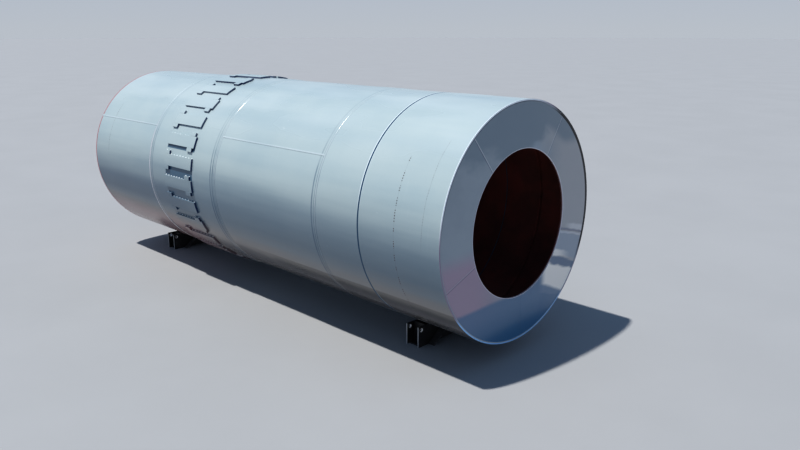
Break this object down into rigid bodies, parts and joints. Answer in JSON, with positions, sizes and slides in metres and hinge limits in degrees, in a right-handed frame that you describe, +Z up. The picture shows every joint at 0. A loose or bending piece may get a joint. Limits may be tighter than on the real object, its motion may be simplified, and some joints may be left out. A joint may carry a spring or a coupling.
{
  "type": "rotary kiln shell section",
  "caption": "Rotary kiln shell section: rolled courses, annular dam plate, ring of tyre seat pads and open weld end, resting on two low transport saddles.",
  "frame": {"origin": "middle of the section's length, on the kiln axis seen from above, at the floor under the saddles", "axes": "+X along the kiln axis towards the dam plate, +Z up"},
  "size_m": [9.21, 3.3538, 3.5549],
  "materials": {
    "shell_enamel": "semi-gloss blue-grey enamel over rolled plate",
    "weld_enamel": "blue-grey enamel over weld metal",
    "dam_enamel": "semi-gloss slate blue enamel over flat plate",
    "pad_enamel": "semi-gloss blue-grey enamel over flat bar",
    "inner_primer": "dull red oxide primer",
    "saddle_black": "dull black paint over plate"
  },
  "bodies": {
    "root": {"end_course_left": "shell_enamel", "end_course_right": "shell_enamel", "short_course_left": "shell_enamel", "short_course_right": "shell_enamel", "plain_course_upper": "shell_enamel", "plain_course_lower": "shell_enamel", "seat_course_left": "shell_enamel", "seat_course_right": "shell_enamel", "joint_course_upper": "shell_enamel", "joint_course_lower": "shell_enamel", "girth_seam_open": "weld_enamel", "girth_weld_short": "weld_enamel", "girth_weld_seat_front": "weld_enamel", "girth_weld_seat_rear": "weld_enamel", "long_welds": "weld_enamel", "dam_sector_1": "dam_enamel", "dam_sector_2": "dam_enamel", "dam_sector_3": "dam_enamel", "dam_sector_4": "dam_enamel", "dam_sector_5": "dam_enamel", "dam_radial_welds": "dam_enamel", "dam_rim_weld": "dam_enamel", "seat_pads_rear_stopped": "pad_enamel", "seat_pads_front_stopped": "pad_enamel", "pad_stops_rear": "pad_enamel", "pad_stops_front": "pad_enamel", "retaining_ring_1": "inner_primer", "retaining_ring_2": "inner_primer", "retaining_ring_3": "inner_primer", "brace_hub": "inner_primer", "brace_arms": "inner_primer", "brace_feet": "inner_primer", "front_saddle_webs": "saddle_black", "front_saddle_liner": "saddle_black", "front_saddle_base": "saddle_black", "front_saddle_ribs": "saddle_black", "front_saddle_stiffeners": "saddle_black", "rear_saddle_webs": "saddle_black", "rear_saddle_liner": "saddle_black", "rear_saddle_base": "saddle_black", "rear_saddle_ribs": "saddle_black", "rear_saddle_stiffeners": "saddle_black"}
  },
  "joints": []
}
